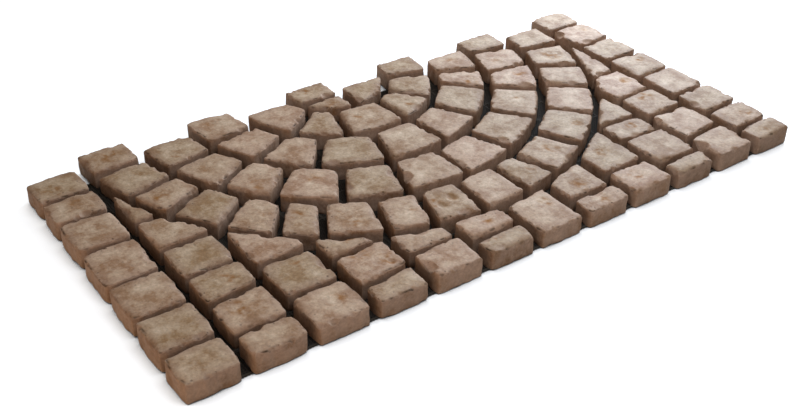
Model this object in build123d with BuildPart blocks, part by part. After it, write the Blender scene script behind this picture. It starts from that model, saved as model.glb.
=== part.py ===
"""Half-circle cobble mat.

Concrete cobbles lie in straight files around a half-circle fan of concentric rings. A plastic mesh
under the cobbles holds them together, so that the whole mat is lifted and laid as one piece.

Frame: X along the mat, Y from its straight front edge to its toothed back edge, Z up.
The origin is the centre of the underside. Sizes are in millimetres and angles in degrees.
"""

import os
from math import atan2, cos, radians, sin

from build123d import *

# Layout: files run from front to back, and rings run around the middle of the back edge
stone_pitch = 100.0  # from joint to joint, across a file and across a ring
hub_radius = 103.0  # joint circle around the cobbles at the middle of the fan
hub_reach = 7.0  # how far the right cobble of the hub passes the side of its file
front_border = 95.0  # from the fan's outer joint circle to the mat's front edge
tooth_reach = 12.0  # how far every second file passes the fan's diameter, to lock into the next mat

# Joints, measured where the cobbles are widest
file_joint = 13.0
row_joint = 5.5
ring_joint = 13.0
radial_joint = 10.0
fan_joint = 7.0  # half of it keeps the files' cut cobbles clear of the fan's outer joint circle

# Cobbles
stone_height = 36.0
corner_radius = 5.0
side_draft = 0.5
arris = 1.5
flat_enough = 0.2  # a side that bulges by less than this is hewn as one facet

# Backing mesh
strand_width = 3.0
strand_thickness = 1.5
strand_pitch = 50.0
strand_inset = 8.0  # from the edge cobbles' sides to the ends of the strands

# Joints between the rows of each file, in stone pitches from the front edge, at its left and right side
file_rows = (
    ((0.69, 0.70), (1.55, 1.56), (2.43, 2.44), (3.39, 3.41), (4.27, 4.27), (4.97, 4.98)),
    ((0.55, 0.53), (1.29, 1.37), (2.01, 2.03), (2.83, 2.85), (3.71, 3.72)),
    ((0.85, 0.81), (1.70, 1.73)),
    ((0.46, 0.53), (1.25, 1.28)),
    ((0.70, 0.70),),
    ((0.45, 0.45),),
    (),
    ((0.46, 0.45),),
    ((0.70, 0.72),),
    ((0.42, 0.39), (1.31, 1.28), (1.90, 1.85)),
    ((0.72, 0.82), (1.65, 1.66), (2.42, 2.45), (3.34, 3.38)),
    ((0.49, 0.51), (1.18, 1.22), (1.96, 1.99), (2.86, 2.89), (3.73, 3.74), (4.52, 4.53), (5.37, 5.39)),
)

# Joints between the cobbles of each ring: angles from the left end of the back edge, through the front,
# at the ring's outer and inner side
ring_joints = (
    ((39.2, 40.0), (67.9, 61.8), (102.5, 107.8), (130.5, 131.9), (160.9, 158.6)),
    ((14.8, 18.0), (33.6, 35.8), (53.6, 53.8), (77.8, 78.8), (101.0, 102.2), (121.4, 121.3), (142.5, 145.7),
     (158.3, 158.3)),
    ((16.5, 17.9), (31.5, 31.4), (44.8, 45.0), (60.8, 61.2), (76.5, 77.4), (93.2, 93.5), (109.6, 109.2),
     (126.9, 126.5), (143.8, 143.9), (158.6, 154.9), (171.3, 171.2)),
    ((7.1, 8.3), (18.1, 19.6), (27.6, 28.0), (38.2, 38.4), (48.4, 47.5), (56.6, 56.0), (68.2, 67.0),
     (76.9, 77.8), (87.5, 87.6), (98.1, 98.9), (107.0, 106.9), (119.2, 119.7), (132.7, 132.6), (145.2, 146.1),
     (155.5, 156.6), (167.0, 166.7)),
)
# The left middle file is cut once inside the hub, in stone pitches before the fan's diameter
hub_joint = 0.44

# Worked out from the layout
file_count = len(file_rows)
fan_radius = stone_pitch * (len(ring_joints) + 1)
recess_depth = tooth_reach + file_joint
mat_depth = front_border + fan_radius + tooth_reach
front_edge = -mat_depth / 2
fan_centre = (0.0, mat_depth / 2 - tooth_reach)
tooth_edge = fan_centre[1] + tooth_reach
recess_edge = fan_centre[1] - recess_depth
bed = Plane.XY.offset(strand_thickness)


def back_edge(file):
    """Y of the back edge of a file, counted from 1 at the left: even files are teeth."""
    return tooth_edge if file % 2 == 0 else recess_edge


def file_sides(file):
    """X of the left and right sides of the cobbles in a file."""
    left = (file - 1 - file_count / 2) * stone_pitch
    return left + file_joint / 2, left + stone_pitch - file_joint / 2


def around_fan(radius, angle):
    """Point on a circle about the fan's centre, with the angle counted from the left."""
    turn = radians(180 + angle)
    return Vector(fan_centre[0] + radius * cos(turn), fan_centre[1] + radius * sin(turn))


def hewn(outline):
    """Outline with straight sides: each rounded corner or bulging side becomes two facets."""
    centre = outline.face().center()
    points = [Vector(*vertex) for vertex in outline.vertices()]
    for edge in outline.edges():
        middle, chord = edge @ 0.5, (edge @ 0 + edge @ 1) / 2
        if (middle - centre).length > (chord - centre).length + flat_enough:
            points.append(middle)
    points.sort(key=lambda point: atan2(point.Y - centre.Y, point.X - centre.X))
    with BuildSketch() as facets:
        with BuildLine():
            Polyline(*points, close=True)
        make_face()
    return facets.sketch


def row_outline(file, front, back, cut_radius=fan_radius + fan_joint / 2, cut=Mode.SUBTRACT, reach=0.0):
    """Outline of one cobble in a file: front and back are its Y at the left and right side.

    The fan's outer circle cuts it back, or the hub's circle trims it. With a reach, the right side and
    the circle lie further to the right.
    """
    left, right = file_sides(file)
    right += reach
    with BuildSketch() as outline:
        with BuildLine():
            Polyline((left, front[0]), (right, front[1]), (right, back[1]), (left, back[0]), close=True)
        make_face()
        with Locations((fan_centre[0] + reach, fan_centre[1])):
            Circle(cut_radius, mode=cut)
        offset(amount=-corner_radius, kind=Kind.INTERSECTION)
        offset(amount=corner_radius, kind=Kind.ARC)
    return hewn(outline.sketch)


def file_outlines(file):
    """Outlines of the cobbles of one file, from the front edge to the fan or the back edge."""
    rows = [[front_edge + stone_pitch * place for place in joint] for joint in file_rows[file - 1]]
    fronts = [[front_edge] * 2] + [[y + row_joint / 2 for y in row] for row in rows]
    backs = [[y - row_joint / 2 for y in row] for row in rows] + [[back_edge(file)] * 2]
    return [row_outline(file, front, back) for front, back in zip(fronts, backs)]


def hub_outlines():
    """Outlines of the cobbles in the middle of the fan."""
    left_file, right_file = file_count // 2, file_count // 2 + 1
    hub_front = fan_centre[1] - hub_radius
    split = fan_centre[1] - hub_joint * stone_pitch
    cuts = (
        (left_file, split + row_joint / 2, back_edge(left_file), 0.0),
        (left_file, hub_front, split - row_joint / 2, 0.0),
        (right_file, hub_front, back_edge(right_file), hub_reach),
    )
    rim = hub_radius - ring_joint / 2
    return [
        row_outline(file, [front] * 2, [back] * 2, rim, Mode.INTERSECT, reach)
        for file, front, back, reach in cuts
    ]


def ring_outline(inner, outer, start, end):
    """Outline of one cobble in a ring, between two lines that are each a pair of points, inner then outer."""
    with BuildSketch() as outline:
        with Locations(fan_centre):
            Circle(outer)
            Circle(inner, mode=Mode.SUBTRACT)
        with BuildLine():
            Polyline(start[0], start[1], end[1], end[0], close=True)
        make_face(mode=Mode.INTERSECT)
        fillet(outline.vertices(), corner_radius)
    return hewn(outline.sketch)


def ring_outlines(ring):
    """Outlines of the cobbles of one ring, counted from 1 outside the hub, from left to right."""
    inner_joint = hub_radius if ring == 1 else stone_pitch * ring
    inner = inner_joint + ring_joint / 2
    outer = stone_pitch * (ring + 1) - ring_joint / 2
    reach = outer * 0.6  # lines run this far past the ring, so that the outer arc stays whole

    def stretched(near, far):
        along = (far - near).normalized()
        return near - along * ring_joint, far + along * reach

    left_file, right_file = file_count // 2 - ring, file_count // 2 + 1 + ring
    starts = [stretched(Vector(-inner, back_edge(left_file)), Vector(-outer, back_edge(left_file)))]
    ends = []
    for outer_angle, inner_angle in ring_joints[ring - 1]:
        near, far = stretched(around_fan(inner, inner_angle), around_fan(outer, outer_angle))
        across = (far - near).normalized().rotate(Axis.Z, 90) * radial_joint / 2
        ends.append((near - across, far - across))
        starts.append((near + across, far + across))
    ends.append(stretched(Vector(inner, back_edge(right_file)), Vector(outer, back_edge(right_file))))
    return [ring_outline(inner, outer, start, end) for start, end in zip(starts, ends)]


def cobbles(name, outlines):
    """Cobbles that stand on the mesh, with drafted sides and a broken top edge, written as one node."""
    with BuildPart() as stones:
        with BuildSketch(bed):
            for outline in outlines:
                add(outline)
        extrude(amount=stone_height, taper=side_draft)
        chamfer(stones.faces().group_by(Axis.Z)[-1].edges(), arris)
    stones.part.label = name
    export_step(stones.part, f"parts/{name}.step")


def mesh():
    """Backing mesh: two strands under each file, crossed by strands along the mat, trimmed to the teeth."""
    half_length = file_count * stone_pitch / 2 - file_joint / 2 - strand_inset
    first_row = front_edge + strand_inset + strand_width
    row_total = int((recess_edge - strand_inset - first_row) // strand_pitch) + 1
    with BuildPart() as backing:
        with BuildSketch():
            for file in range(1, file_count + 1):
                left, right = file_sides(file)
                front, back = front_edge + strand_inset, back_edge(file) - strand_inset
                middle = (left + right) / 2
                with Locations((middle, (front + back) / 2)):
                    with GridLocations(strand_pitch, 0, 2, 1):
                        Rectangle(strand_width, back - front)
                if back_edge(file) == tooth_edge:
                    with Locations((middle, back - strand_width)):
                        Rectangle(strand_pitch, strand_width)
            for row in range(row_total):
                with Locations((0, first_row + row * strand_pitch)):
                    Rectangle(2 * half_length, strand_width)
        extrude(amount=strand_thickness)
    backing.part.label = "backing_mesh"
    export_step(backing.part, "parts/backing_mesh.step")


os.makedirs("parts", exist_ok=True)
mesh()
for number in range(1, file_count + 1):
    cobbles(f"file_{number:02d}_cobbles", file_outlines(number))
cobbles("fan_hub_cobbles", hub_outlines())
for number in range(1, len(ring_joints) + 1):
    cobbles(f"fan_ring_{number}_cobbles", ring_outlines(number))
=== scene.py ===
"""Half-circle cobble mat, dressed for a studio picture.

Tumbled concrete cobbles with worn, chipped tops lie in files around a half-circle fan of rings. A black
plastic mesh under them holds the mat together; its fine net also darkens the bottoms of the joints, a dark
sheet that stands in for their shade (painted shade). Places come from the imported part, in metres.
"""

import logging
import math
import random
from dataclasses import dataclass, field
from enum import Enum
from typing import Any

import bmesh
import bpy
import numpy as np
from mathutils import Matrix, Quaternion, Vector, noise


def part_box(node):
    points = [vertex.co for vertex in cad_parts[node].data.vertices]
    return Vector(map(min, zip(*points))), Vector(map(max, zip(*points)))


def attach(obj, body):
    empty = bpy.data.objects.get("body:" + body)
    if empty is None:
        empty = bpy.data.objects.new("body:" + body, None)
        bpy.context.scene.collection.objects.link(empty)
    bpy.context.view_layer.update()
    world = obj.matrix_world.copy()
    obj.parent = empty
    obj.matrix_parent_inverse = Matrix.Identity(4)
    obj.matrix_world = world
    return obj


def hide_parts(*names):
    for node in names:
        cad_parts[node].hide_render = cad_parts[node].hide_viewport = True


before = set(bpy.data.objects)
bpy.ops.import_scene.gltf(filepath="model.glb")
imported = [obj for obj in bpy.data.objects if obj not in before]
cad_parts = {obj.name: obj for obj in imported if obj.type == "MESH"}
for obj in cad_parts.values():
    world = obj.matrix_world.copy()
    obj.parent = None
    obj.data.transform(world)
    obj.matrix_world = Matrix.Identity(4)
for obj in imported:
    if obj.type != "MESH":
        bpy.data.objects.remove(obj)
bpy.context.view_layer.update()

MM = 0.001
log = logging.getLogger("cobble_mat")

# Mix node with colours: numbers of its inputs and output
MIX_A, MIX_B, MIX_RESULT = 6, 7, 2

Span = tuple[float, float]
Place = tuple[float, float, float]
Socket = bpy.types.NodeSocket
Tree = bpy.types.NodeTree


def linear(hex_colour: str) -> tuple[float, float, float, float]:
    """Turn an sRGB hex colour into the linear colour that a shader takes.

    Args:
        hex_colour: six hex digits after a hash sign.

    Returns:
        Red, green, blue and an alpha of 1.
    """
    parts = [int(hex_colour[i:i + 2], 16) / 255 for i in (1, 3, 5)]
    red, green, blue = (p / 12.92 if p <= 0.04045 else ((p + 0.055) / 1.055) ** 2.4 for p in parts)
    return red, green, blue, 1.0


def add_node(tree: Tree, kind: str, inputs: dict[Any, Any], **settings: Any) -> bpy.types.Node:
    """Add one node with its settings, constants and links.

    Args:
        tree: node tree that takes the node.
        kind: Blender's name of the node's type.
        inputs: for each input's name or number, the output that feeds it or a constant.
        settings: the node's own properties.

    Returns:
        The new node.
    """
    node = tree.nodes.new(kind)
    for name, value in settings.items():
        setattr(node, name, value)
    for name, value in inputs.items():
        if isinstance(value, Socket):
            tree.links.new(value, node.inputs[name])
        else:
            node.inputs[name].default_value = value
    return node


def per_metre(size_mm: float) -> float:
    """Scale of a noise texture whose features are this size, on coordinates in metres."""
    return 1.0 / (size_mm * MM)


def new_material(name: str) -> tuple[bpy.types.Material, Tree]:
    """Make an empty node material.

    Args:
        name: common name of the real material.

    Returns:
        The material and its cleared node tree.
    """
    material = bpy.data.materials.new(name)
    material.use_nodes = True
    material.node_tree.nodes.clear()
    return material, material.node_tree


def ramp(values: np.ndarray, low: float, high: float) -> np.ndarray:
    """Rise smoothly from 0 at low to 1 at high.

    Args:
        values: numbers to judge.
        low: where the rise starts.
        high: where it ends.

    Returns:
        One number from 0 to 1 for each value.
    """
    share = np.clip((values - low) / (high - low), 0.0, 1.0)
    return share * share * (3.0 - 2.0 * share)


def half_up(values: np.ndarray) -> np.ndarray:
    """Bring a pattern from between -1 and 1 to between 0 and 1."""
    return 0.5 + 0.5 * np.clip(values, -1.0, 1.0)


@dataclass(frozen=True)
class Patterns:
    """Outputs that a cobble's finish is mixed from: its own attributes, and patterns on its surface."""

    place: Socket
    upward: Socket
    skin: Socket
    tint: Socket
    stain: Socket
    crack: Socket
    cloud: Socket
    grit: Socket
    mottling: Socket


@dataclass(frozen=True)
class TumbledConcrete:
    """Wet-cast concrete, coloured through with iron oxide and tumbled until its edges wore down.

    The cement skin on top is pale, with limy bloom and patches of thicker oxide. Broken edges and sides show
    the browner core, and hollows hold rusty stains.
    """

    # Rough and dull to the eye, with a faint sheen where the cement skin is whole
    name: str = "tumbled_concrete"
    core: str = "#AC8A71"
    ochre: str = "#A37F55"  # skin of some cobbles
    rose: str = "#A67C60"  # skin of others
    bloom: str = "#CBAE90"
    earth: str = "#946840"  # where the oxide lies thicker
    stain: str = "#94602F"
    # Painted shade inside the air holes and cracks of the top
    hole_shade: str = "#453629"
    roughness: float = 0.62
    stain_dulls: float = 0.3  # added to the roughness where there is a stain
    ior: float = 1.5
    shine: float = 0.15  # of whole skin; holes and cracks have none
    broken_shine: float = 0.3  # share of it that broken concrete has
    shiny_skin: float = 0.6  # skin that has all of its shine
    mottle_mm: float = 40.0
    cloud_mm: float = 9.0
    cloud_share: float = 0.4  # of the clouds in the mottling
    grit_mm: float = 4.0  # sand, drawn coarser than its 1 to 2 mm so that it shows
    grit_height_mm: float = 0.45
    noise_detail: float = 4.0
    noise_roughness: float = 0.65
    bloomy: Span = (0.57, 0.9)  # mottling where the bloom starts and where it is thickest
    bloom_most: float = 0.9
    oxidised: Span = (0.5, 0.7)  # mottling where the oxide is thickest and where it ends
    oxide_most: float = 0.5
    toned: Span = (0.47, 0.93)  # mottling that is darkest and that is lightest
    darkest: float = 0.88
    lightest: float = 1.16
    stone_contrast: float = 0.1
    sand_contrast: float = 0.78
    pit_mm: float = 9.0  # from one small air hole to the next
    pit_size: Span = (0.14, 0.24)  # of that, from a hole's floor to its rim
    pit_most: float = 0.75
    airy: Span = (0.5, 0.57)  # clouds where air holes start and where all of them are
    pitted_skin: Span = (0.3, 0.9)  # from broken skin, with all its holes, to whole skin
    whole_skin_pits: float = 0.3  # share of the holes that whole skin has
    top_slope: Span = (0.4, 0.8)  # height of the normal, from a side to a top
    # Painted shade in the joints: sides and bottoms that neighbouring cobbles shelter are drawn darker, down
    # to the share below
    joint_shade_mm: float = 30.0  # painted shade darkens what lies this far inside a joint
    open_air: Span = (0.1, 0.8)  # from the bottom of a joint to a free side
    deepest_joint_shade: float = 0.76
    joint_shade_samples: int = 6

    def patterns(self, tree: Tree) -> Patterns:
        """Add the nodes that the finish is mixed from.

        Args:
            tree: the material's node tree.

        Returns:
            Their outputs.
        """
        coordinates = add_node(tree, "ShaderNodeTexCoord", {}).outputs
        upward = add_node(tree, "ShaderNodeSeparateXYZ", {"Vector": coordinates["Normal"]}).outputs["Z"]
        skin, tint, stain, crack = (
            add_node(tree, "ShaderNodeAttribute", {}, attribute_name=name).outputs["Fac"]
            for name in ("skin", "tint", "stain", "crack")
        )
        mottle, cloud, grit = (
            add_node(tree, "ShaderNodeTexNoise", {
                "Vector": coordinates["Object"], "Scale": per_metre(size),
                "Detail": self.noise_detail, "Roughness": self.noise_roughness,
            }).outputs["Fac"]
            for size in (self.mottle_mm, self.cloud_mm, self.grit_mm)
        )
        mottling = add_node(tree, "ShaderNodeMath", {
            0: cloud, 1: self.cloud_share, 2: mottle,
        }, operation="MULTIPLY_ADD").outputs["Value"]
        return Patterns(coordinates["Object"], upward, skin, tint, stain, crack, cloud, grit, mottling)

    def stone_colour(self, tree: Tree, patterns: Patterns) -> Socket:
        """Mix core, skin, bloom, oxide and stains.

        Args:
            tree: the material's node tree.
            patterns: what they are mixed by.

        Returns:
            The colour of clean concrete.
        """
        rosy = add_node(tree, "ShaderNodeMapRange", {
            "Value": patterns.tint, "From Min": -1.0, "From Max": 1.0,
        }).outputs["Result"]
        cement = add_node(tree, "ShaderNodeMix", {
            "Factor": rosy, MIX_A: linear(self.ochre), MIX_B: linear(self.rose),
        }, data_type="RGBA").outputs[MIX_RESULT]
        body = add_node(tree, "ShaderNodeMix", {
            "Factor": patterns.skin, MIX_A: linear(self.core), MIX_B: cement,
        }, data_type="RGBA").outputs[MIX_RESULT]
        lime = add_node(tree, "ShaderNodeMapRange", {
            "Value": patterns.mottling, "From Min": self.bloomy[0], "From Max": self.bloomy[1],
            "To Min": 0.0, "To Max": self.bloom_most,
        }).outputs["Result"]
        lime_on_skin = add_node(tree, "ShaderNodeMath", {
            0: lime, 1: patterns.skin,
        }, operation="MULTIPLY").outputs["Value"]
        bloomed = add_node(tree, "ShaderNodeMix", {
            "Factor": lime_on_skin, MIX_A: body, MIX_B: linear(self.bloom),
        }, data_type="RGBA").outputs[MIX_RESULT]
        oxide = add_node(tree, "ShaderNodeMapRange", {
            "Value": patterns.mottling, "From Min": self.oxidised[0], "From Max": self.oxidised[1],
            "To Min": self.oxide_most, "To Max": 0.0,
        }).outputs["Result"]
        earthy = add_node(tree, "ShaderNodeMix", {
            "Factor": oxide, MIX_A: bloomed, MIX_B: linear(self.earth),
        }, data_type="RGBA").outputs[MIX_RESULT]
        return add_node(tree, "ShaderNodeMix", {
            "Factor": patterns.stain, MIX_A: earthy, MIX_B: linear(self.stain),
        }, data_type="RGBA").outputs[MIX_RESULT]

    def pits(self, tree: Tree, patterns: Patterns) -> Socket:
        """Add small air holes, most of them where the skin is broken.

        Args:
            tree: the material's node tree.
            patterns: where the air was and where the skin is.

        Returns:
            How deep each place lies in a hole.
        """
        distance = add_node(tree, "ShaderNodeTexVoronoi", {
            "Vector": patterns.place, "Scale": per_metre(self.pit_mm),
        }).outputs["Distance"]
        hole = add_node(tree, "ShaderNodeMapRange", {
            "Value": distance, "From Min": self.pit_size[0], "From Max": self.pit_size[1],
            "To Min": self.pit_most, "To Max": 0.0,
        }).outputs["Result"]
        air = add_node(tree, "ShaderNodeMapRange", {
            "Value": patterns.cloud, "From Min": self.airy[0], "From Max": self.airy[1],
        }).outputs["Result"]
        opened = add_node(tree, "ShaderNodeMapRange", {
            "Value": patterns.skin, "From Min": self.pitted_skin[0], "From Max": self.pitted_skin[1],
            "To Min": 1.0, "To Max": self.whole_skin_pits,
        }).outputs["Result"]
        share = add_node(tree, "ShaderNodeMath", {0: air, 1: opened}, operation="MULTIPLY").outputs["Value"]
        return add_node(tree, "ShaderNodeMath", {0: hole, 1: share}, operation="MULTIPLY").outputs["Value"]

    def gap_shade(self, tree: Tree, patterns: Patterns, pits: Socket) -> Socket:
        """Join the holes and cracks of the top and paint shade into them: painted shade, drawn darker inside.

        Args:
            tree: the material's node tree.
            patterns: where the cracks and the top are.
            pits: how deep each place lies in a hole.

        Returns:
            How much painted shade each place has.
        """
        either = add_node(tree, "ShaderNodeMath", {
            0: pits, 1: patterns.crack,
        }, operation="MAXIMUM").outputs["Value"]
        top = add_node(tree, "ShaderNodeMapRange", {
            "Value": patterns.upward, "From Min": self.top_slope[0], "From Max": self.top_slope[1],
        }).outputs["Result"]
        return add_node(tree, "ShaderNodeMath", {0: either, 1: top}, operation="MULTIPLY").outputs["Value"]

    def tone(self, tree: Tree, patterns: Patterns) -> Socket:
        """Work out how light the concrete is: by cobble, in patches, by sand grain, and with painted shade in
        the joints, darker where neighbouring cobbles shelter it.

        Args:
            tree: the material's node tree.
            patterns: the cobble's tint, the mottling and the grit.

        Returns:
            A number to multiply the colour by.
        """
        patch = add_node(tree, "ShaderNodeMapRange", {
            "Value": patterns.mottling, "From Min": self.toned[0], "From Max": self.toned[1],
            "To Min": self.darkest, "To Max": self.lightest,
        }).outputs["Result"]
        sand = add_node(tree, "ShaderNodeMapRange", {
            "Value": patterns.grit, "From Min": 0.0, "From Max": 1.0,
            "To Min": -self.sand_contrast / 2, "To Max": self.sand_contrast / 2,
        }).outputs["Result"]
        sandy = add_node(tree, "ShaderNodeMath", {0: patch, 1: sand}, operation="ADD").outputs["Value"]
        clean = add_node(tree, "ShaderNodeMath", {
            0: patterns.tint, 1: self.stone_contrast, 2: sandy,
        }, operation="MULTIPLY_ADD").outputs["Value"]
        # Painted shade: ambient occlusion darkens the colour deep in the joints
        air = add_node(tree, "ShaderNodeAmbientOcclusion", {
            "Distance": self.joint_shade_mm * MM,
        }, samples=self.joint_shade_samples)
        joint_shade = add_node(tree, "ShaderNodeMapRange", {
            "Value": air.outputs["AO"], "From Min": self.open_air[0], "From Max": self.open_air[1],
            "To Min": self.deepest_joint_shade, "To Max": 1.0,
        }).outputs["Result"]
        return add_node(tree, "ShaderNodeMath", {0: clean, 1: joint_shade}, operation="MULTIPLY").outputs["Value"]

    def relief(self, tree: Tree, patterns: Patterns, pits: Socket) -> Socket:
        """Add the fine relief of sand and air holes.

        Args:
            tree: the material's node tree.
            patterns: the clouds and the grit.
            pits: how deep each place lies in a hole.

        Returns:
            The bumped normal.
        """
        rough = add_node(tree, "ShaderNodeMath", {
            0: patterns.cloud, 1: self.cloud_share, 2: patterns.grit,
        }, operation="MULTIPLY_ADD").outputs["Value"]
        height = add_node(tree, "ShaderNodeMath", {0: rough, 1: pits}, operation="SUBTRACT").outputs["Value"]
        return add_node(tree, "ShaderNodeBump", {
            "Strength": 1.0, "Distance": self.grit_height_mm * MM, "Height": height,
        }).outputs["Normal"]

    def material(self) -> bpy.types.Material:
        """Make the material: skin and core by the cobble's own attributes, mottled and gritty.

        Returns:
            The finish of all cobbles.
        """
        material, tree = new_material(self.name)
        patterns = self.patterns(tree)
        pits = self.pits(tree, patterns)
        gap_shade = self.gap_shade(tree, patterns, pits)
        # Painted shade: holes and cracks on the top are mixed toward a dark brown
        spotted = add_node(tree, "ShaderNodeMix", {
            "Factor": gap_shade, MIX_A: self.stone_colour(tree, patterns), MIX_B: linear(self.hole_shade),
        }, data_type="RGBA").outputs[MIX_RESULT]
        # The tone carries the painted shade in the joints
        colour = add_node(tree, "ShaderNodeVectorMath", {
            0: spotted, "Scale": self.tone(tree, patterns),
        }, operation="SCALE").outputs["Vector"]
        polish = add_node(tree, "ShaderNodeMapRange", {
            "Value": patterns.skin, "From Max": self.shiny_skin,
            "To Min": self.broken_shine * self.shine, "To Max": self.shine,
        }).outputs["Result"]
        filled = add_node(tree, "ShaderNodeMath", {0: 1.0, 1: gap_shade}, operation="SUBTRACT").outputs["Value"]
        shine = add_node(tree, "ShaderNodeMath", {
            0: polish, 1: filled,
        }, operation="MULTIPLY").outputs["Value"]
        roughness = add_node(tree, "ShaderNodeMath", {
            0: patterns.stain, 1: self.stain_dulls, 2: self.roughness,
        }, operation="MULTIPLY_ADD").outputs["Value"]
        shader = add_node(tree, "ShaderNodeBsdfPrincipled", {
            "Base Color": colour, "Roughness": roughness, "IOR": self.ior, "Specular IOR Level": shine,
            "Normal": self.relief(tree, patterns, pits),
        }).outputs["BSDF"]
        add_node(tree, "ShaderNodeOutputMaterial", {"Surface": shader})
        return material


@dataclass(frozen=True)
class BlackPolypropylene:
    """Extruded polypropylene net, drawn dark brown-grey: its colour is painted shade, as dark as the bottoms
    of the joints look, and it keeps little of its waxy sheen.
    """

    # Dull and nearly black to the eye; the brown-grey colour is painted shade, as dark as the bottoms of the
    # joints
    name: str = "black_polypropylene"
    colour: str = "#4A4239"
    roughness: float = 0.85
    ior: float = 1.49
    sheen_left: float = 0.15  # the net keeps this much of the plastic's shine

    def material(self) -> bpy.types.Material:
        """Make the material, the same all over.

        Returns:
            The finish of the strands and the net.
        """
        material, tree = new_material(self.name)
        shader = add_node(tree, "ShaderNodeBsdfPrincipled", {
            "Base Color": linear(self.colour), "Roughness": self.roughness, "IOR": self.ior,
            "Specular IOR Level": self.sheen_left,
        }).outputs["BSDF"]
        add_node(tree, "ShaderNodeOutputMaterial", {"Surface": shader})
        return material


class Damage(Enum):
    """How a cobble was broken at one place."""

    CHIP = "flake knocked off the top edge"
    HOLLOW = "rusty hollow in the top"


@dataclass(frozen=True)
class Mark:
    """One break at one place of the mat, in millimetres."""

    damage: Damage
    x: float
    y: float
    radius: float
    depth: float


# Breaks that the picture shows, in millimetres from the middle of the mat
MARKS: tuple[Mark, ...] = (
    Mark(Damage.CHIP, -65, -60, 16, 10),
    Mark(Damage.HOLLOW, -50, -150, 11, 3),
    Mark(Damage.HOLLOW, -77, -158, 9, 3),
    Mark(Damage.HOLLOW, -227, -234, 8, 3),
    Mark(Damage.HOLLOW, -255, -190, 24, 1),
    Mark(Damage.CHIP, -190, -275, 13, 7),
    Mark(Damage.CHIP, -307, -185, 14, 7),
    Mark(Damage.CHIP, 402, -258, 17, 14),
    Mark(Damage.CHIP, 417, -158, 9, 6),
    Mark(Damage.CHIP, 422, 6, 8, 6),
    Mark(Damage.CHIP, 456, 59, 8, 6),
    Mark(Damage.CHIP, 433, 111, 8, 6),
    Mark(Damage.HOLLOW, 470, -15, 18, 1),
    Mark(Damage.CHIP, 512, 214, 13, 8),
    Mark(Damage.CHIP, 80, 126, 14, 5),
)


@dataclass(frozen=True)
class Break:
    """A kind of flake that tumbling knocks off the top edge: how many, and their sizes in millimetres."""

    count: tuple[int, int]
    radius: Span
    depth: Span


@dataclass(frozen=True)
class Wear:
    """How far tumbling wore the cobbles down, in millimetres. It only takes away.

    Each of the pairs named for patches says which part of a random pattern has none and which has all.
    """

    grain: float = 2.1  # spacing of the points on a cobble
    pattern_room: Span = (-900.0, 900.0)  # each cobble has its own place in the random patterns
    settle: float = 3.0  # some cobbles sit lower than the highest one
    tilt: float = 2.4  # one side of a top lies lower than the other
    crown: Span = (0.2, 1.0)  # fall of a top from its middle to its edges
    crown_reach: float = 30.0
    edge: Span = (0.0, 1.0)  # fall of the worn top edge
    edge_reach: Span = (0.8, 2.0)
    edge_length: float = 22.0  # along the edge, from one worn place to the next
    edge_patches: Span = (-0.7, 0.7)
    shoulder: float = 5.0  # fall of the rounded shoulders, which are on some sides only
    shoulder_reach: float = 4.5
    shoulder_length: float = 55.0
    shoulder_patches: Span = (0.0, 0.6)
    corner: float = 2.2
    side_wave: float = 2.6
    side_length: float = 17.0
    side_stretch: Place = (1.0, 1.0, 2.0)  # waves on the sides are this much longer along each axis
    side_reach: float = 8.0
    foot: float = 2.4  # worn off the bottom edge
    foot_reach: float = 4.0
    foot_patches: Span = (-0.5, 0.8)
    swell: float = 1.1
    swell_length: float = 42.0
    riven: float = 0.45
    riven_length: float = 22.0
    grit: float = 0.3
    grit_length: float = 6.0
    breaks: tuple[Break, ...] = (
        Break((5, 11), (2.5, 7.0), (1.5, 4.5)),
        Break((0, 2), (8.0, 15.0), (2.0, 5.0)),
    )
    ragged: float = 2.4  # how far a chip's edge or the skin's edge wanders
    mark_ragged: float = 2.0  # times as far for the chips at known places
    stain_ragged: float = 3.0  # and for a random hollow
    hollow_share: float = 0.55  # share of the cobbles that have a rusty hollow
    hollow_shift: Span = (-0.5, 0.5)  # of the cobble's half width, from its middle
    hollow_radius: Span = (12.0, 24.0)
    hollow_depth: float = 0.9
    stain_patches: Span = (-0.3, 0.7)
    crack_line: float = 1.6  # short cracks run this far inside the top's edge
    crack_width: float = 2.4
    crack_length: float = 12.0
    crack_depth: float = 0.8
    crack_patches: Span = (-0.05, 0.45)
    crack_below: Span = (5.0, 2.0)  # under the highest point, where there is none and where there is all
    skin_edge: float = 0.8  # from a cobble's side to where its pale skin starts
    skin_rise: float = 1.6  # from there to where it is whole
    skin_ragged: float = 0.6
    skin_chipped: Span = (0.5, 1.6)  # depth of a chip where the skin gets thin and where it is gone
    pale_start: float = 2.0  # from a cobble's side to where its skin gets paler
    pale_reach: float = 22.0  # to where it is palest
    pale_ragged: float = 2.0
    pale_edge: float = 0.35  # share of the skin's paleness at the side
    sharp_degrees: float = 27.0  # faces that meet at more than this show a crisp edge


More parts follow.
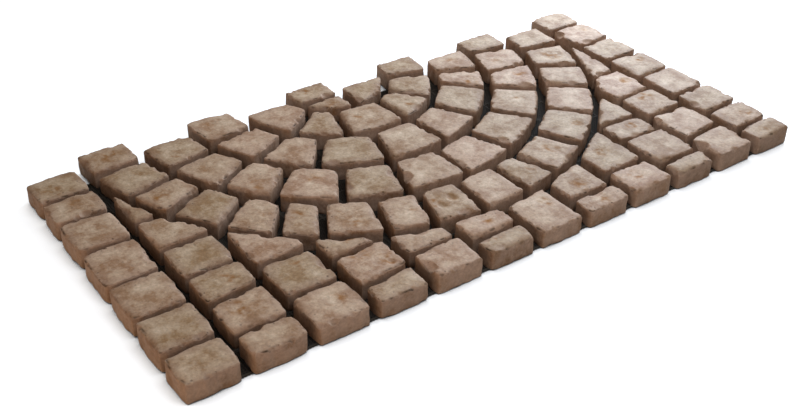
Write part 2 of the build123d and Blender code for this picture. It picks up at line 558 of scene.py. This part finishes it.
@dataclass
class Cobble:
    """One cobble that is being worn: its points in millimetres, and its sides as planes."""

    points: np.ndarray
    side_normals: np.ndarray
    side_distances: np.ndarray
    wear: Wear
    chance: random.Random
    origin: np.ndarray = field(init=False)
    inside: np.ndarray = field(init=False)
    depth: np.ndarray = field(init=False)
    middle: np.ndarray = field(init=False)
    low: float = field(init=False)
    high: float = field(init=False)
    reach: float = field(init=False)
    skin: np.ndarray = field(init=False)
    stain: np.ndarray = field(init=False)
    crack: np.ndarray = field(init=False)

    def __post_init__(self) -> None:
        """Set the pattern's own origin and the depth of each point inside the cobble's sides."""
        self.origin = np.array([self.span(self.wear.pattern_room) for _ in range(3)])
        self.inside = self.side_distances[None, :] - self.points @ self.side_normals.T
        self.depth = self.inside.min(axis=1).clip(0.0)
        self.middle = (self.points.min(axis=0) + self.points.max(axis=0)) / 2
        self.low, self.high = self.points[:, 2].min(), self.points[:, 2].max()
        self.reach = float(self.depth.max())

    def pattern(self, length: float, octaves: int, stretch: Place = (1.0, 1.0, 1.0)) -> np.ndarray:
        """Draw a random pattern over the cobble.

        Args:
            length: size of the pattern's waves in millimetres.
            octaves: how many finer waves are added.
            stretch: how much longer the waves are along each axis.

        Returns:
            One number for each point, mostly from -1 to 1.
        """
        places = (self.points / stretch + self.origin) / length
        return np.array([noise.fractal(place, 1.0, 2.0, octaves) for place in places.tolist()])

    def span(self, limits: Span) -> float:
        """Draw a number between two limits."""
        return self.chance.uniform(*limits)

    def edge_place(self) -> np.ndarray:
        """Choose a place on the cobble's outline, seen from above.

        Returns:
            Its X and Y.
        """
        turn = self.span((0.0, 2.0 * math.pi))
        way = np.array([math.cos(turn), math.sin(turn)])
        slopes = self.side_normals[:, :2] @ way
        room = self.side_distances - self.side_normals @ self.middle
        ahead = slopes > 0.05  # sides that the way runs into, not along
        return self.middle[:2] + way * (room[ahead] / slopes[ahead]).min()

    def nearest_edge(self, place: np.ndarray) -> np.ndarray:
        """Move a place inside the cobble's outline out to the nearest side.

        Args:
            place: X and Y of the place.

        Returns:
            X and Y on the side, or the place itself where it lies outside the cobble.
        """
        room = self.side_distances - self.side_normals @ np.array([*place, self.middle[2]])
        nearest = room.argmin()
        return place + self.side_normals[nearest, :2] * max(room[nearest], 0.0)

    def bowl(self, centre: np.ndarray, radius: float, ragged: np.ndarray) -> np.ndarray:
        """Shape a break with a crisp rim.

        Args:
            centre: X and Y of the break.
            radius: its size.
            ragged: how far its rim wanders at each point.

        Returns:
            1 at its centre, falling to 0 at its rim and outside.
        """
        away = np.hypot(*(self.points[:, :2] - centre).T) + ragged
        return 1.0 - np.clip(away / radius, 0.0, 1.0) ** 2

    def chips(self, marks: tuple[Mark, ...], wander: np.ndarray) -> np.ndarray:
        """Knock flakes off the top edge: random ones, then those at known places.

        Args:
            marks: breaks at known places.
            wander: how far a rim wanders at each point.

        Returns:
            How deep each point lies in a chip.
        """
        chipped = np.zeros(len(self.points))
        for kind in self.wear.breaks:
            for _ in range(self.chance.randint(*kind.count)):
                place, radius, depth = self.edge_place(), self.span(kind.radius), self.span(kind.depth)
                chipped = np.maximum(chipped, depth * self.bowl(place, radius, wander))
        for mark in marks:
            if mark.damage is Damage.CHIP:
                place = self.nearest_edge(np.array([mark.x, mark.y]))
                shape = self.bowl(place, mark.radius, wander * self.wear.mark_ragged)
                chipped = np.maximum(chipped, mark.depth * shape)
        return chipped

    def hollows(self, marks: tuple[Mark, ...], wander: np.ndarray) -> tuple[np.ndarray, np.ndarray]:
        """Sink rusty hollows into the top: a random one on some cobbles, then those at known places.

        Args:
            marks: breaks at known places.
            wander: how far a rim wanders at each point.

        Returns:
            How stained each point is, and how deep it lies in a hollow.
        """
        wear = self.wear
        stain = np.zeros(len(self.points))
        if self.chance.random() < wear.hollow_share:
            shift = np.array([self.span(wear.hollow_shift) * self.reach for _ in range(2)])
            radius = self.span(wear.hollow_radius)
            stain = self.bowl(self.middle[:2] + shift, radius, wander * wear.stain_ragged)
        hollow = stain * wear.hollow_depth
        for mark in marks:
            if mark.damage is Damage.HOLLOW:
                shape = self.bowl(np.array([mark.x, mark.y]), mark.radius, wander)
                stain = np.maximum(stain, shape)
                hollow = np.maximum(hollow, mark.depth * shape)
        return stain, hollow

    def note_looks(self, chipped: np.ndarray, stain: np.ndarray, wander: np.ndarray) -> None:
        """Note where the cobble's pale skin, its stains and its cracks are.

        Args:
            chipped: how deep each point lies in a chip.
            stain: how stained each point is.
            wander: how far a rim wanders at each point.
        """
        wear = self.wear
        whole = ramp(self.depth + wander * wear.skin_ragged, wear.skin_edge, wear.skin_edge + wear.skin_rise)
        kept = ramp(-chipped, -wear.skin_chipped[1], -wear.skin_chipped[0])
        inner = ramp(self.depth + wander * wear.pale_ragged, wear.pale_start, wear.pale_reach)
        self.skin = whole * kept * (wear.pale_edge + (1.0 - wear.pale_edge) * inner)
        self.stain = stain * ramp(self.pattern(wear.riven_length / 2, 3), *wear.stain_patches)
        off_line = np.abs(self.depth - wear.crack_line - wander)
        broken = ramp(self.pattern(wear.crack_length, 2), *wear.crack_patches)
        upper = ramp(self.points[:, 2], self.high - wear.crack_below[0], self.high - wear.crack_below[1])
        self.crack = ramp(-off_line, -wear.crack_width, 0.0) * broken * upper

    def wear_down(self, marks: tuple[Mark, ...]) -> None:
        """Wear the cobble's sides and top, and note where its skin and stains are.

        Args:
            marks: breaks at known places, of which those on this cobble are made.
        """
        wander = self.pattern(self.wear.riven_length, 2) * self.wear.ragged
        chipped = self.chips(marks, wander)
        stain, hollow = self.hollows(marks, wander)
        self.note_looks(chipped, stain, wander)
        drop = self.top_wear() + np.maximum(chipped, hollow) + self.crack * self.wear.crack_depth
        self.wear_sides()
        rise = (self.points[:, 2] - self.low) / (self.high - self.low)
        self.points[:, 2] -= drop * rise

    def top_wear(self) -> np.ndarray:
        """Work out how much lower the worn top lies.

        Returns:
            The fall of each point in millimetres.
        """
        wear = self.wear
        turn = self.span((0.0, 2.0 * math.pi))
        lean = (self.points[:, :2] - self.middle[:2]) @ np.array([math.cos(turn), math.sin(turn)])
        tilt = self.span((0.0, wear.tilt)) * half_up(lean / (2.0 * self.reach))
        crown = self.span(wear.crown) * (1.0 - np.clip(self.depth / wear.crown_reach, 0.0, 1.0)) ** 2
        along = ramp(self.pattern(wear.edge_length, 2), *wear.edge_patches)
        fall = wear.edge[0] + along * (wear.edge[1] - wear.edge[0])
        reach = wear.edge_reach[0] + along * (wear.edge_reach[1] - wear.edge_reach[0])
        edge = fall * np.exp(-self.depth / reach)
        rounded = ramp(self.pattern(wear.shoulder_length, 1), *wear.shoulder_patches)
        shoulder = wear.shoulder * rounded * np.exp(-self.depth / wear.shoulder_reach)
        swell = wear.swell * half_up(self.pattern(wear.swell_length, 2))
        riven = wear.riven * np.clip(np.abs(self.pattern(wear.riven_length, 3)), 0.0, 1.0)
        grit = wear.grit * half_up(self.pattern(wear.grit_length, 2))
        return self.span((0.0, wear.settle)) + tilt + crown + edge + shoulder + swell + riven + grit

    def wear_sides(self) -> None:
        """Round the upright corners and take shallow waves off the sides."""
        wear = self.wear
        near = np.exp(-self.inside / wear.corner)
        weights = near / near.sum(axis=1, keepdims=True)
        inward = -(weights @ self.side_normals)
        inward[:, 2] = 0.0
        rounded = np.clip(self.depth + wear.corner * np.log(near.sum(axis=1)), 0.0, None)
        waves = wear.side_wave * half_up(self.pattern(wear.side_length, 3, wear.side_stretch))
        uneven = ramp(self.pattern(wear.edge_length, 2), *wear.foot_patches)
        foot = wear.foot * uneven * np.exp(-(self.points[:, 2] - self.low) / wear.foot_reach)
        fading = np.exp(-self.depth / wear.side_reach)
        self.points += inward * ((rounded + waves + foot) * fading)[:, None]


@dataclass
class CobbleCourse:
    """The cobbles of one file, one ring or the hub of the fan."""

    node: str
    wear: Wear
    finish: bpy.types.Material
    marks: tuple[Mark, ...]
    slot: str = "cobble"
    weld: float = 0.01 * MM  # points closer than this are one
    wall_tilt: float = 0.3  # a face that looks up or down by less than this is a cobble's side
    plane_digits: int = 2  # sides whose planes agree to this many digits are one
    octree_depth: int = 6
    most_scale: float = 0.99  # the remesher takes no more

    def stones(self) -> list[bmesh.types.BMesh]:
        """Copy the node's solids.

        Returns:
            One mesh for each cobble.
        """
        whole = bmesh.new()
        whole.from_mesh(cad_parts[self.node].data)
        bmesh.ops.remove_doubles(whole, verts=whole.verts, dist=self.weld)
        whole.verts.index_update()
        whole.verts.ensure_lookup_table()
        left = set(range(len(whole.verts)))
        parts = []
        while left:
            group, front = set(), {min(left)}
            while front:
                group |= front
                links = [(whole.verts[i], edge) for i in front for edge in whole.verts[i].link_edges]
                front = {edge.other_vert(vert).index for vert, edge in links} - group
            left -= group
            part = whole.copy()
            others = [vert for vert in part.verts if vert.index not in group]
            bmesh.ops.delete(part, geom=others, context="VERTS")
            parts.append(part)
        whole.free()
        return parts

    def refined(self, stone: bmesh.types.BMesh) -> bpy.types.Mesh:
        """Give a cobble an even net of fine faces.

        Args:
            stone: the plain cobble.

        Returns:
            The cobble's fine mesh.
        """
        plain = bpy.data.meshes.new("plain_cobble")
        stone.to_mesh(plain)
        carrier = bpy.data.objects.new("plain_cobble", plain)
        bpy.context.scene.collection.objects.link(carrier)
        remesh = carrier.modifiers.new("grain", "REMESH")
        remesh.mode = "SHARP"
        remesh.octree_depth = self.octree_depth
        scale = max(carrier.dimensions) / (2 ** self.octree_depth * self.wear.grain * MM)
        remesh.scale = min(self.most_scale, scale)
        fine = bpy.data.meshes.new_from_object(carrier.evaluated_get(bpy.context.evaluated_depsgraph_get()))
        bpy.data.objects.remove(carrier)
        bpy.data.meshes.remove(plain)
        return fine

    def worn(self, stone: bmesh.types.BMesh, chance: random.Random) -> bpy.types.Mesh:
        """Wear one cobble.

        Args:
            stone: the plain cobble.
            chance: the cobble's own random numbers.

        Returns:
            The worn mesh, with attributes for its skin, tint, stains and cracks.
        """
        sides = [face for face in stone.faces if abs(face.normal.z) < self.wall_tilt]
        planes = np.array([(*face.normal, face.normal.dot(face.verts[0].co) / MM) for face in sides])
        kept = np.unique(np.round(planes, self.plane_digits) + 0.0, axis=0, return_index=True)[1]
        mesh = self.refined(stone)
        flat = np.zeros(len(mesh.vertices) * 3)
        mesh.vertices.foreach_get("co", flat)
        cobble = Cobble(flat.reshape(-1, 3) / MM, planes[kept, :3], planes[kept, 3], self.wear, chance)
        cobble.wear_down(self.marks)
        mesh.vertices.foreach_set("co", (cobble.points * MM).ravel())
        tint = np.full(len(mesh.vertices), chance.uniform(-1.0, 1.0))
        looks = {"skin": cobble.skin, "tint": tint, "stain": cobble.stain, "crack": cobble.crack}
        for name, values in looks.items():
            attribute = mesh.attributes.new(name, "FLOAT", "POINT")
            attribute.data.foreach_set("value", values.astype(np.float32))
        return mesh

    def build(self) -> bpy.types.Object:
        """Build the course's worn cobbles as one piece in place of the node.

        Returns:
            The piece.
        """
        joined = bmesh.new()
        for number, stone in enumerate(self.stones(), start=1):
            mesh = self.worn(stone, random.Random(f"{self.node} {number}"))
            joined.from_mesh(mesh)
            bpy.data.meshes.remove(mesh)
            stone.free()
        # A cobble's flat bottom needs no fine faces
        under = min(vert.co.z for vert in joined.verts) + self.wear.grain * MM / 4
        flat = [face for face in joined.faces if all(vert.co.z < under for vert in face.verts)]
        bmesh.ops.dissolve_faces(joined, faces=flat)
        for face in joined.faces:
            face.smooth = True
        mesh = bpy.data.meshes.new(f"{self.node}_worn")
        joined.to_mesh(mesh)
        joined.free()
        mesh.set_sharp_from_angle(angle=math.radians(self.wear.sharp_degrees))
        mesh.materials.append(self.finish)
        piece = bpy.data.objects.new(f"{self.node}_worn", mesh)
        bpy.context.scene.collection.objects.link(piece)
        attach(piece, "root")
        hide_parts(self.node)
        return piece


@dataclass
class BackingMesh:
    """The plastic mesh under the cobbles: the part's strong strands, and a fine net between them. The fine
    net's dark strands also stand in for the shade at the bottoms of the joints (painted shade).
    """

    finish: bpy.types.Material
    node: str = "backing_mesh"
    slot: str = "mesh"
    pitch: float = 4.5 * MM
    strand_width: float = 2.8 * MM
    strand_height: float = 0.7 * MM
    lift: float = 0.2 * MM

    def dress(self) -> bpy.types.Object:
        """Give the strong strands their finish.

        Returns:
            The part's own piece.
        """
        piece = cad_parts[self.node]
        piece.data.materials.clear()
        piece.data.materials.append(self.finish)
        return piece

    def strand(self, net: bmesh.types.BMesh, low: Span, high: Span) -> None:
        """Lay one fine strand.

        Args:
            net: mesh that takes the strand.
            low: its lowest corner seen from above.
            high: its highest corner seen from above.
        """
        size = Vector((high[0] - low[0], high[1] - low[1], self.strand_height))
        height = self.lift + self.strand_height / 2
        middle = Vector(((low[0] + high[0]) / 2, (low[1] + high[1]) / 2, height))
        place = Matrix.LocRotScale(middle, None, size)
        bmesh.ops.create_cube(net, size=1.0, matrix=place)

    def build_backing_and_shade_net(self) -> bpy.types.Object:
        """Build the fine net, trimmed as the strong strands are: a dark sheet under the joints, partly the
        mat's carrier and partly painted shade.

        Returns:
            The net's piece.
        """
        low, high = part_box(self.node)
        net = bmesh.new()
        files = sorted(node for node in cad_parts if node.startswith("file_"))
        inset = low.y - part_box(files[0])[0].y
        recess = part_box(files[0])[1].y - inset
        half = self.strand_width / 2
        # Painted shade: the dense fine strands darken what shows at the bottoms of the joints
        for row in range(round((high.y - low.y) / self.pitch)):
            y = low.y + self.pitch * (row + 0.5)
            if y < recess:
                self.strand(net, (low.x, y - half), (high.x, y + half))
        for column in range(round((high.x - low.x) / self.pitch)):
            x = low.x + self.pitch * (column + 0.5)
            self.strand(net, (x - half, low.y), (x + half, recess))
        mesh = bpy.data.meshes.new("backing_and_shade_net")
        net.to_mesh(mesh)
        net.free()
        mesh.materials.append(self.finish)
        piece = bpy.data.objects.new("backing_and_shade_net", mesh)
        bpy.context.scene.collection.objects.link(piece)
        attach(piece, "root")
        return piece


@dataclass(frozen=True)
class Softbox:
    """A rectangular studio lamp: where it stands, where it points, and how bright its face is."""

    name: str
    place: Place
    aim: Place
    width: float
    height: float
    radiance: float
    colour: str

    def build(self) -> None:
        """Hang the lamp."""
        lamp = bpy.data.lights.new(self.name, "AREA")
        lamp.shape = "RECTANGLE"
        lamp.size, lamp.size_y = self.width, self.height
        lamp.energy = self.radiance * math.pi * self.width * self.height
        lamp.color = linear(self.colour)[:3]
        holder = bpy.data.objects.new(self.name, lamp)
        holder.location = self.place
        way = Vector(self.aim) - Vector(self.place)
        holder.rotation_euler = way.to_track_quat("-Z", "Y").to_euler()
        bpy.context.scene.collection.objects.link(holder)


@dataclass
class Studio:
    """White floor, soft lamps and the camera."""

    floor_size: float = 14.0
    floor_drop: float = 0.3 * MM
    floor_colour: str = "#D8D6D3"
    near_glow: float = 0.75  # of the floor near the mat, where its shadow lies
    far_glow: float = 0.92
    glow_rise: Span = (1.2, 2.0)  # from the middle of the mat, where the floor gets brighter
    shade_reach: float = 0.05
    shade_samples: int = 8
    open_sky: Span = (0.35, 0.65)  # from the bottom of a joint to the open floor
    joint_floor: float = 0.02  # light that is left at the bottom of a joint
    sky_colour: str = "#FFFFFF"
    ambient: float = 0.13
    eye: Place = (-0.9724, -1.2681, 0.9825)
    target: Place = (-0.1408, -0.1340, 0.0375)
    roll_degrees: float = 1.22
    lens: float = 49.21
    sensor: float = 36.0
    lamps: tuple[Softbox, ...] = (
        Softbox("key_back_right", (1.35, 0.75, 0.65), (0.45, 0.0, 0.0), 1.0, 0.5, 24.5, "#CFE6FF"),
        Softbox("card_back", (1.2, 1.95, 1.75), (-0.1, -0.15, 0.0), 1.4, 1.0, 2.6, "#F0F8FF"),
        Softbox("overhead", (-0.05, -0.62, 1.1), (0.0, -0.15, 0.0), 0.8, 0.8, 3.9, "#DEECFF"),
        Softbox("fill_left", (-1.6, -0.75, 0.24), (-0.4, -0.1, 0.0), 1.2, 0.4, 3.3, "#FFDFBC"),
    )

    def white_rays(self, tree: Tree) -> Socket:
        """Add nodes that tell rays that show the background from rays that light the object.

        Args:
            tree: node tree of the floor or the world.

        Returns:
            An output that is 1 for camera, glossy and transmission rays.
        """
        path = add_node(tree, "ShaderNodeLightPath", {}).outputs
        seen = add_node(tree, "ShaderNodeMath", {
            0: path["Is Camera Ray"], 1: path["Is Glossy Ray"],
        }, operation="MAXIMUM").outputs["Value"]
        return add_node(tree, "ShaderNodeMath", {
            0: seen, 1: path["Is Transmission Ray"],
        }, operation="MAXIMUM").outputs["Value"]

    def floor_material(self) -> bpy.types.Material:
        """Make a floor that looks white and keeps the lamps' soft shadows, with painted shade: ambient
        occlusion darkens it near the mat and between the cobbles.

        Returns:
            The floor's finish.
        """
        # Matt painted board: even and without shine to the eye
        material, tree = new_material("matt_white_board")
        seen = self.white_rays(tree)
        # Painted shade: the floor's glow and colour darken where the mat shelters it
        sky = add_node(tree, "ShaderNodeAmbientOcclusion", {
            "Distance": self.shade_reach,
        }, samples=self.shade_samples)
        shade = add_node(tree, "ShaderNodeMapRange", {
            "Value": sky.outputs["AO"], "From Min": self.open_sky[0], "From Max": self.open_sky[1],
            "To Min": self.joint_floor, "To Max": 1.0,
        }).outputs["Result"]
        spot = add_node(tree, "ShaderNodeTexCoord", {}).outputs["Object"]
        away = add_node(tree, "ShaderNodeVectorMath", {0: spot}, operation="LENGTH").outputs["Value"]
        level = add_node(tree, "ShaderNodeMapRange", {
            "Value": away, "From Min": self.glow_rise[0], "From Max": self.glow_rise[1],
            "To Min": self.near_glow, "To Max": self.far_glow,
        }).outputs["Result"]
        glow = add_node(tree, "ShaderNodeMath", {0: shade, 1: level}, operation="MULTIPLY").outputs["Value"]
        light = add_node(tree, "ShaderNodeMath", {0: glow, 1: seen}, operation="MULTIPLY").outputs["Value"]
        board = add_node(tree, "ShaderNodeVectorMath", {
            0: linear(self.floor_colour)[:3], "Scale": shade,
        }, operation="SCALE").outputs["Vector"]
        matt = add_node(tree, "ShaderNodeBsdfDiffuse", {"Color": board}).outputs["BSDF"]
        lit = add_node(tree, "ShaderNodeEmission", {"Strength": light}).outputs["Emission"]
        surface = add_node(tree, "ShaderNodeAddShader", {0: matt, 1: lit}).outputs["Shader"]
        add_node(tree, "ShaderNodeOutputMaterial", {"Surface": surface})
        return material

    def build_floor(self) -> None:
        """Lay the floor just under the mat."""
        sheet = bmesh.new()
        bmesh.ops.create_grid(sheet, x_segments=1, y_segments=1, size=self.floor_size / 2)
        bmesh.ops.translate(sheet, verts=sheet.verts, vec=(0.0, 0.0, -self.floor_drop))
        mesh = bpy.data.meshes.new("floor")
        sheet.to_mesh(mesh)
        sheet.free()
        mesh.materials.append(self.floor_material())
        floor = bpy.data.objects.new("floor", mesh)
        bpy.context.scene.collection.objects.link(floor)

    def build_world(self) -> None:
        """Make the surroundings: white to look at, a softer grey as light."""
        world = bpy.data.worlds.new("studio")
        world.use_nodes = True
        tree = world.node_tree
        tree.nodes.clear()
        strength = add_node(tree, "ShaderNodeMapRange", {
            "Value": self.white_rays(tree), "To Min": self.ambient, "To Max": 1.0,
        }).outputs["Result"]
        sky = add_node(tree, "ShaderNodeBackground", {
            "Color": linear(self.sky_colour), "Strength": strength,
        }).outputs["Background"]
        add_node(tree, "ShaderNodeOutputWorld", {"Surface": sky})
        bpy.context.scene.world = world

    def build_camera(self) -> None:
        """Set the camera where the picture was taken from."""
        camera = bpy.data.cameras.new("camera")
        camera.lens, camera.sensor_width = self.lens, self.sensor
        holder = bpy.data.objects.new("camera", camera)
        holder.location = self.eye
        look = (Vector(self.target) - Vector(self.eye)).to_track_quat("-Z", "Y")
        holder.rotation_mode = "QUATERNION"
        holder.rotation_quaternion = look @ Quaternion((0.0, 0.0, 1.0), math.radians(self.roll_degrees))
        bpy.context.scene.collection.objects.link(holder)
        bpy.context.scene.camera = holder

    def build(self) -> None:
        """Set up the whole studio."""
        self.build_floor()
        self.build_world()
        for lamp in self.lamps:
            lamp.build()
        self.build_camera()
        bpy.context.scene.view_settings.view_transform = "Standard"


def report(piece: bpy.types.Object) -> None:
    """Log a piece's name and how many triangles it has."""
    triangles = sum(len(face.vertices) - 2 for face in piece.data.polygons)
    log.info("%s: %d triangles", piece.name, triangles)


def main() -> None:
    """Build the studio, the mesh and every course of cobbles, then note the sizes."""
    logging.basicConfig(level=logging.INFO, format="%(name)s: %(message)s")
    Studio().build()
    backing = BackingMesh(BlackPolypropylene().material())
    report(backing.dress())
    report(backing.build_backing_and_shade_net())
    concrete = TumbledConcrete().material()
    for node in sorted(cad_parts):
        if node.endswith("_cobbles"):
            report(CobbleCourse(node, Wear(), concrete, MARKS).build())


if __name__ == "__main__":
    main()
